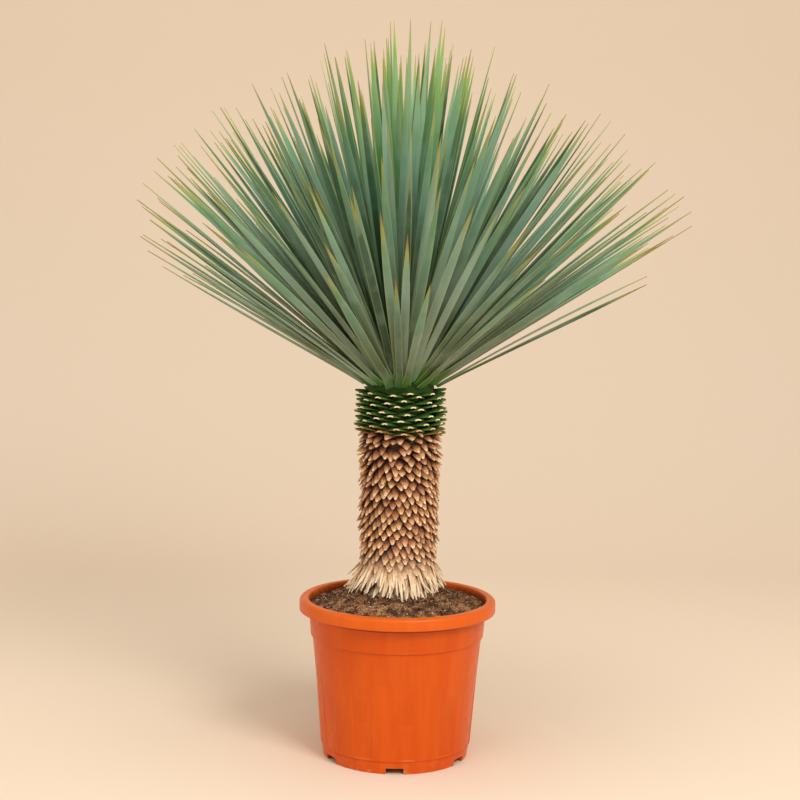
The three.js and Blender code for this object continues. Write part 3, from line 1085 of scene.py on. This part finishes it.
@dataclass
class ScalyTrunk:
    """The stem and its leaf bases: green at the top, dry below and a shredded skirt at the foot."""

    core_radius: float = 56 * MM
    dry_seat: float = 50.5 * MM
    dry_radius: float = 67 * MM
    green_radius: float = 78 * MM
    foot_height: float = 0.205
    soil_height: float = 0.284
    skirt_height: float = 0.346
    dry_top: float = 0.560
    green_top: float = 0.638
    crest_height: float = 60 * MM
    dry_area: float = 172e-6
    green_area: float = 318e-6
    overlap: float = 8 * MM
    dry_thickness: float = 2.2 * MM
    dry_arch: float = 3.2 * MM
    green_length: float = 27 * MM
    green_width: float = 46 * MM
    green_thickness: float = 2.2 * MM
    green_arch: float = 6 * MM
    green_droop: float = 2.6 * MM
    skirt_strips: int = 210
    strip_thickness: float = 1.3 * MM
    strip_arch: float = 1.9 * MM
    # Darker towards each strip's root, partly as painted shade under the dry bases.
    straw: tuple[tuple[float, Colour], ...] = (
        (0.0, srgb(124, 78, 42)),
        (0.3, srgb(190, 138, 88)),
        (0.7, srgb(240, 204, 154)),
        (1.0, srgb(255, 240, 212)),
    )

    def build_core(self) -> bpy.types.Object:
        """The dark stem behind the leaf bases, with a domed growing tip."""
        rim = self.core_radius
        profile: list[Point] = [(0, self.foot_height), (rim - 2 * MM, self.foot_height)]
        profile += [(rim, mix(self.foot_height, self.green_top, step / 40)) for step in range(1, 41)]
        turns = [math.radians(90 * step / 14) for step in range(1, 15)]
        crest = [(rim * math.cos(t), self.green_top + self.crest_height * math.sin(t)) for t in turns]
        profile += crest[:-1] + [(0, crest[-1][1])]
        bm = spun(profile, 96)
        for vertex in bm.verts:
            ripple = noise.fractal(vertex.co * 90, 1.0, 2.0, 3) * 1.6 * MM
            if vertex.co.xy.length > MM:
                vertex.co.xy *= 1 + ripple / vertex.co.xy.length
        finish = StemCore("stem_core", roughness=(0.85, 0.95), relief=0.6, green_from=self.dry_top)
        material = finish.material()
        return dressed(finished(bm, "trunk_core", material, sharp=180), ["trunk"])

    @staticmethod
    def tongue(along: float) -> float:
        """The outline of a dry leaf base: broad, then a blunt point."""
        return 0.06 + 0.94 * (1 - max(0.0, (along - 0.45) / 0.55) ** 1.35)

    @staticmethod
    def stub(along: float) -> float:
        """The outline of a cut green leaf base: wide at its root and narrow at the cut."""
        return mix(1.0, 0.18, along**1.1)

    @staticmethod
    def strip(along: float) -> float:
        """The outline of a shredded strip."""
        return max(0.05, 1 - along**2.2)

    def build_dry(self, draw: random.Random) -> bpy.types.Object:
        """The dry leaf bases, hung like shingles in spirals."""
        stack = BladeStack()
        rise = self.dry_area / (FULL_TURN * self.dry_radius)
        count = int((self.dry_top + self.overlap - self.soil_height) / rise)
        for index in range(count):
            height = self.dry_top + self.overlap - index * rise + draw.gauss(0, 0.5) * MM
            angle = -index * GOLDEN_ANGLE + draw.gauss(0, 0.014)
            from_top = max(0.0, (self.dry_top - height) / (self.dry_top - self.soil_height))
            ragged = math.exp(-from_top * 5)
            tilt = math.radians(mix(142, 110, ragged) + draw.gauss(0, mix(4, 12, ragged)))
            length = mix(25, 22, ragged) * MM * draw.uniform(0.88, 1.12)
            width = mix(14, 15.5, ragged) * MM * draw.uniform(0.85, 1.15)
            blade = Blade(length, width, self.dry_thickness, self.dry_arch, self.tongue, rows=4, columns=3)
            heading = outward(angle + draw.gauss(0.08, mix(0.05, 0.2, ragged)), tilt)
            side = Vector((-math.sin(angle), math.cos(angle), 0))
            side.rotate(Matrix.Rotation(draw.gauss(0, mix(0.1, 0.3, ragged)), 3, heading))
            droop = outward(angle, math.pi) * (length * draw.uniform(0.05, 0.2))
            spine = Spine(around(angle, self.dry_seat, height), heading, side, length, droop, 0)
            shade = mix(draw.random(), 1.0, 0.45 * ragged)
            stack.add(blade, spine, tone=shade, dryness=smooth_step(0.55, 1.0, from_top) * 0.7)
        finish = DryLeafBase("dry_leaf_base", roughness=(0.7, 0.88), relief=0.55, relief_depth=0.5 * MM)
        material = finish.material()
        return dressed(stack.finish("trunk_dry_bases", material))

    def build_green(self, draw: random.Random) -> bpy.types.Object:
        """The leaf bases that were cut green, in the same spirals."""
        stack = BladeStack()
        rise = self.green_area / (FULL_TURN * self.green_radius)
        count = int((self.green_top - self.dry_top) / rise) - 6
        for index in range(count):
            height = self.dry_top - 2 * MM + index * rise + draw.gauss(0, 0.4) * MM
            angle = index * GOLDEN_ANGLE + draw.gauss(0, 0.012)
            tilt = math.radians(72 + draw.gauss(0, 3))
            length = self.green_length * draw.uniform(0.92, 1.06)
            width = self.green_width * draw.uniform(0.92, 1.08)
            blade = Blade(length, width, self.green_thickness, self.green_arch, self.stub, rows=4, columns=4)
            heading = outward(angle, tilt)
            side = Vector((-math.sin(angle), math.cos(angle), 0))
            droop = Vector((0, 0, -self.green_droop))
            spine = Spine(around(angle, self.core_radius - 3 * MM, height), heading, side, length, droop, 0)
            lowness = 1 - smooth_step(0, 26 * MM, height - self.dry_top)
            tone = draw.random()
            dryness = min(1.0, max(0.0, lowness + draw.gauss(0, 0.12)))
            stack.add(blade, spine, tone=tone, dryness=dryness)
        finish = GreenLeafBase("green_leaf_base", roughness=(0.45, 0.7), relief=0.4)
        material = finish.material()
        return dressed(stack.finish("trunk_green_bases", material))

    def build_skirt(self, draw: random.Random) -> bpy.types.Object:
        """The shredded straw-coloured bases that fan out over the soil."""
        stack = BladeStack()
        for index in range(self.skirt_strips):
            angle = index * GOLDEN_ANGLE + draw.gauss(0, 0.1)
            height = mix(self.soil_height + 22 * MM, self.skirt_height, draw.random() ** 0.7)
            drop = (height - self.soil_height - 3 * MM) * draw.uniform(0.5, 1.05)
            spread = mix(1.0, 1.7, (1 - math.cos(angle)) / 2)
            reach = (draw.uniform(4, 15) + abs(draw.gauss(0, 5))) * spread * MM
            tilt = math.pi - math.atan2(reach, drop)
            length = math.hypot(drop, reach)
            width = draw.uniform(4.5, 9) * MM
            blade = Blade(length, width, self.strip_thickness, self.strip_arch, self.strip, rows=6, columns=2)
            heading = outward(angle + draw.gauss(0.05, 0.26), tilt)
            side = Vector((-math.sin(angle), math.cos(angle), 0))
            flick = outward(angle + draw.gauss(0, 0.7), math.pi / 2) * (draw.uniform(-1, 6) * MM)
            seat = around(angle, self.core_radius + 2 * MM, height)
            spine = Spine(seat, heading, side, length, flick, draw.gauss(0, 0.4))
            stack.add(blade, spine, tone=draw.random(), dryness=draw.uniform(0.35, 1.0))
        finish = DryLeafBase("straw_strip", (0.65, 0.85), relief=0.5, stops=self.straw, threads=5.0)
        material = finish.material()
        return dressed(stack.finish("trunk_straw_skirt", material))

    def build(self, draw: random.Random) -> None:
        """Makes the stem and all its leaf bases."""
        self.build_core()
        self.build_dry(draw)
        self.build_green(draw)
        self.build_skirt(draw)


# ---------------------------------------------------------------- the crown


@dataclass
class LeafCrown:
    """The crown: sword leaves in a golden-angle spiral from the upright heart out to the lowest ring."""

    base_height: float
    top_height: float
    radius: float
    seat_radius: float = 64 * MM
    seat_rise: float = 56 * MM
    leaves: int = 360
    tiers: int = 12
    lowest_tilt: float = math.radians(65)
    leaf_width: float = 16 * MM
    leaf_thickness: float = 1.1 * MM
    spread_power: float = 0.64
    seat_lift: float = 4 * MM
    heart_margin: float = 6 * MM
    middle_reach: float = 0.57
    middle_span: Point = (5, 24)
    widest_tilt: float = math.radians(56)
    widest_share: float = 0.99
    widest_span: Point = (34, 54)
    lowest_shortening: float = 0.22
    lowest_span: Point = (58, 67)

    @staticmethod
    def sword(along: float) -> float:
        """The outline of a leaf: broad at its root, widest near the middle, and a long needle tip."""
        root = 0.7 * math.exp(-along * 15)
        swell = mix(0.76, 1.0, smooth_step(0.0, 0.5, along))
        point = 1 - max(0.0, (along - 0.52) / 0.48) ** 2
        return max(0.03, (swell + root) * point)

    def reach(self, tilt: float) -> float:
        """How far out a leaf reaches.

        Args:
            tilt: The leaf's tilt from upright, in radians.

        Returns:
            The distance from the middle of the crown's base to the tip. The spans are in degrees of tilt.
        """
        degrees = math.degrees(tilt)
        heart_reach = self.top_height - self.base_height + self.heart_margin
        widest_reach = self.widest_share * self.radius / math.sin(self.widest_tilt)
        inner = mix(heart_reach, self.middle_reach, smooth_step(*self.middle_span, degrees))
        outer = mix(inner, widest_reach, smooth_step(*self.widest_span, degrees))
        return outer * (1 - self.lowest_shortening * smooth_step(*self.lowest_span, degrees))

    def leaf(self, stack: BladeStack, index: int, draw: random.Random) -> None:
        """Adds one leaf.

        Args:
            stack: The tier that it is added to.
            index: Its number, counted from the heart outwards.
            draw: The source of random numbers.
        """
        share = (index + 0.5) / self.leaves
        tilt = self.lowest_tilt * share**self.spread_power + draw.gauss(0, math.radians(1.6))
        tilt = min(abs(tilt), self.lowest_tilt + math.radians(1))
        angle = index * GOLDEN_ANGLE + draw.gauss(0, 0.05)
        turn = min(1.0, tilt / self.lowest_tilt) * math.radians(86)
        seat_height = self.base_height + self.seat_lift + self.seat_rise * math.cos(turn)
        seat = around(angle, self.seat_radius * math.sin(turn), seat_height)
        reach = self.reach(tilt) * (1 - 0.11 * draw.random() ** 2)
        tip_height = self.base_height + reach * math.cos(tilt)
        tip = around(angle + draw.gauss(0, 0.03), reach * math.sin(tilt), tip_height)
        sag = reach * (0.012 + 0.035 * (tilt / self.lowest_tilt) ** 2) * draw.uniform(-0.2, 1.6)
        bend = outward(angle, tilt + math.pi / 2) * sag
        run = tip - seat - bend
        side = Vector((-math.sin(angle), math.cos(angle), 0))
        side.rotate(Matrix.Rotation(draw.gauss(0, 0.28), 3, run.normalized()))
        spine = Spine(seat, run.normalized(), side, run.length, bend, draw.gauss(0, 0.3))
        width = self.leaf_width * draw.uniform(0.9, 1.08) * mix(1.0, 0.87, smooth_step(0.3, 0.8, share))
        blade = Blade(run.length, width, self.leaf_thickness, -2.4 * MM, self.sword, rows=10, columns=2)
        youth = 1 - smooth_step(0.02, 0.3, share + draw.gauss(0, 0.06))
        dryness = min(1.0, max(0.0, draw.gauss(0.0, 0.2) + 0.75 * share**2))
        stack.add(blade, spine, tone=draw.random(), dryness=dryness, youth=youth)

    def build(self, draw: random.Random) -> None:
        """Makes the crown, a piece for each tier of leaves from the heart outwards."""
        finish = SwordLeaf("sword_leaf", roughness=(0.36, 0.52), relief=0.12, relief_depth=0.2 * MM)
        material = finish.material()
        nodes = sorted(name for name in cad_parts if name.startswith("leaf_"))
        nodes.reverse()
        for tier in range(self.tiers):
            stack = BladeStack()
            first = tier * self.leaves // self.tiers
            last = (tier + 1) * self.leaves // self.tiers
            for index in range(first, last):
                self.leaf(stack, index, draw)
            stands_for = nodes[tier * len(nodes) // self.tiers : (tier + 1) * len(nodes) // self.tiers]
            piece = stack.finish(f"leaf_tier_{tier + 1:02d}", material)
            dressed(piece, stands_for)


# ---------------------------------------------------------------- the studio


@dataclass
class Studio:
    """The seamless ground, the soft lights and the camera."""

    distance: float = 2.686
    eye_height: float = 0.873
    pitch: float = math.radians(5.41)
    roll: float = math.radians(1.0)
    lens: float = 70.7
    aim_shift: float = -0.00125

    def build_ground(self) -> None:
        """One sheet of paper that lies under the plant and curves up behind it."""
        bm = bmesh.new()
        front, back, top, bend, side = -9.0, 3.2, 6.5, 1.6, 9.0
        line = [(front, 0.0), (back - bend, 0.0)]
        line += arc((back - bend, bend), bend, -90, 0, 24)
        line.append((back, top))
        corners = [bm.verts.new((-side, y, z)) for y, z in line]
        edges = [bm.edges.new(pair) for pair in zip(corners, corners[1:])]
        swept = bmesh.ops.extrude_edge_only(bm, edges=edges)
        bmesh.ops.translate(
            bm, vec=(2 * side, 0, 0), verts=[v for v in swept["geom"] if isinstance(v, bmesh.types.BMVert)]
        )
        bmesh.ops.remove_doubles(bm, verts=bm.verts[:], dist=1e-5)
        ground = finished(bm, "ground", StudioPaper("studio_paper").material(), sharp=180)

    def light(self, name: str, place: Vector, aim: Vector, size: float, power: float, colour: Colour) -> None:
        """A square soft light that faces a point.

        Args:
            name: The light's name.
            place: Where it stands.
            aim: The point that it faces.
            size: The length of its side.
            power: Its power in watts.
            colour: Its colour.
        """
        data = bpy.data.lights.new(name, "AREA")
        data.shape = "SQUARE"
        data.size = size
        data.energy = power
        data.color = colour[:3]
        lamp = bpy.data.objects.new(name, data)
        lamp.location = place
        lamp.rotation_euler = (aim - place).to_track_quat("-Z", "Y").to_euler()
        bpy.context.scene.collection.objects.link(lamp)

    def build_lights(self) -> None:
        """A broad key from the front right, a fill from the left, a top light and an even surround."""
        aim = Vector((0, 0, 0.6))
        white = srgb(255, 250, 243)
        self.light("key", Vector((1.6, -2.6, 2.7)), aim, 1.3, 78, white)
        self.light("fill", Vector((-2.4, -2.4, 1.5)), aim, 2.4, 12, white)
        self.light("wash", Vector((-2.0, 0.6, 2.9)), Vector((-0.9, 3.0, 0.4)), 1.8, 7, white)
        self.light("top", Vector((0, -1.1, 3.3)), Vector((0, -0.9, 0)), 1.8, 34, white)
        world = bpy.data.worlds.new("surround")
        world.use_nodes = True
        background = world.node_tree.nodes["Background"]
        background.inputs["Color"].default_value = srgb(255, 247, 238)
        background.inputs["Strength"].default_value = 0.64
        bpy.context.scene.world = world

    def build_camera(self) -> None:
        """A camera in front of the plant, a little above its middle and looking slightly down."""
        data = bpy.data.cameras.new("camera")
        data.lens = self.lens
        data.sensor_width = 36
        data.shift_x = self.aim_shift
        camera = bpy.data.objects.new("camera", data)
        camera.location = (0, -self.distance, self.eye_height)
        turn = Matrix.Rotation(math.pi / 2 - self.pitch, 3, "X") @ Matrix.Rotation(self.roll, 3, "Z")
        camera.rotation_euler = turn.to_euler()
        bpy.context.scene.collection.objects.link(camera)
        bpy.context.scene.camera = camera

    def build(self) -> None:
        """Makes the studio and sets plain colour management."""
        self.build_camera()
        self.build_ground()
        self.build_lights()
        view = bpy.context.scene.view_settings
        view.view_transform = "Standard"
        view.look = "None"


# ---------------------------------------------------------------- the plant


def main() -> None:
    """Builds the studio and the plant in order, from the pot up."""
    logging.basicConfig(level=logging.INFO, format="%(message)s")
    draw = random.Random(SEED)
    noise.seed_set(SEED)
    pot_low, pot_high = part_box("pot")
    Studio().build()
    pot = NurseryPot(height=pot_high.z - pot_low.z, rim_radius=(pot_high.x - pot_low.x) / 2)
    pot.build()
    soil = PottingSoil(pot)
    soil.build_bed()
    soil.build_bits(draw)
    trunk = ScalyTrunk()
    trunk.build(draw)
    crown_radius = (CAD_BOX[1].x - CAD_BOX[0].x) / 2
    LeafCrown(base_height=trunk.green_top, top_height=CAD_BOX[1].z, radius=crown_radius).build(draw)


if __name__ == "__main__":
    main()
